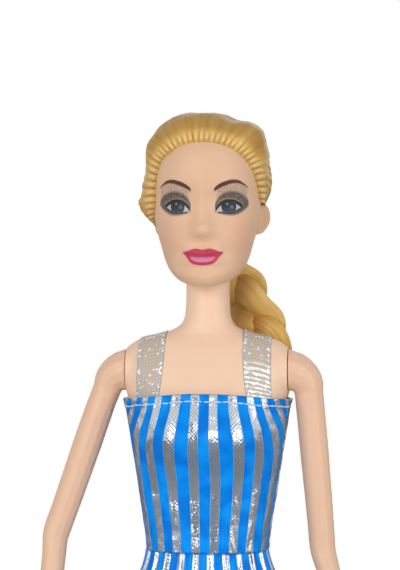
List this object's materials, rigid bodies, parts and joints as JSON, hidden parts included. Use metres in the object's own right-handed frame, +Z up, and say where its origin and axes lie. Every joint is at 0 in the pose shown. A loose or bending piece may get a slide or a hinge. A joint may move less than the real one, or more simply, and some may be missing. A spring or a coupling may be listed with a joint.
{
  "type": "fashion doll",
  "caption": "Jointed fashion doll with rooted blond hair in a side braid, painted face, blue and silver striped dress with glitter straps, and high-heeled shoes.",
  "frame": {"origin": "on the floor, at the middle of the doll's outline seen from above", "axes": "+Z up along the standing doll, -Y the way the doll faces, +X towards the doll's own left side"},
  "size_m": [0.08, 0.051, 0.2956],
  "materials": {
    "body_plastic": "satin moulded plastic in a peach skin colour",
    "skin_vinyl": "soft satin vinyl in a peach skin colour",
    "plug_plastic": "unpainted moulded plastic",
    "axle_steel": "plain steel rod",
    "hair": "glossy golden blond fibre",
    "elastic": "blond elastic",
    "striped_fabric": "satin with bright blue and silver foil stripes",
    "glitter_mesh": "thin mesh with silver glitter",
    "fastener_tape": "white hook-and-loop tape",
    "shoe_plastic": "pearly silver soft plastic"
  },
  "bodies": {
    "torso": {"torso_front": "body_plastic", "torso_back": "body_plastic", "neck_plug": "plug_plastic", "hip_axle": "axle_steel", "bodice_front": "striped_fabric", "bodice_back_left": "striped_fabric", "bodice_back_right": "striped_fabric", "closure_loop_tape": "fastener_tape", "closure_hook_tape": "fastener_tape", "left_strap": "glitter_mesh", "right_strap": "glitter_mesh", "skirt_left": "striped_fabric", "skirt_right": "striped_fabric"},
    "head": {"head_shell": "skin_vinyl", "hair_cap": "hair", "braid": "hair", "braid_band": "elastic", "braid_tuft": "hair"},
    "left_arm": {"left_arm": "skin_vinyl"},
    "right_arm": {"right_arm": "skin_vinyl"},
    "left_leg": {"left_leg": "skin_vinyl", "left_shoe": "shoe_plastic"},
    "right_leg": {"right_leg": "skin_vinyl", "right_shoe": "shoe_plastic"}
  },
  "joints": [
    {"name": "neck_turn", "type": "hinge", "parent": "torso", "child": "head", "pos_m": [0, 0.002, 0.257], "axis": [0, 0, 1], "range_deg": [-70, 70], "deforming": ["braid", "braid_band", "braid_tuft"]},
    {"name": "left_shoulder", "type": "hinge", "parent": "torso", "child": "left_arm", "pos_m": [0, 0, 0.233], "axis": [1, 0, 0], "continuous": true},
    {"name": "right_shoulder", "type": "hinge", "parent": "torso", "child": "right_arm", "pos_m": [0, 0, 0.233], "axis": [1, 0, 0], "continuous": true},
    {"name": "left_hip", "type": "hinge", "parent": "torso", "child": "left_leg", "pos_m": [0, 0, 0.157], "axis": [-1, 0, 0], "range_deg": [-30, 90], "deforming": ["skirt_left", "skirt_right"]},
    {"name": "right_hip", "type": "hinge", "parent": "torso", "child": "right_leg", "pos_m": [0, 0, 0.157], "axis": [-1, 0, 0], "range_deg": [-30, 90], "deforming": ["skirt_right", "skirt_left"]}
  ]
}
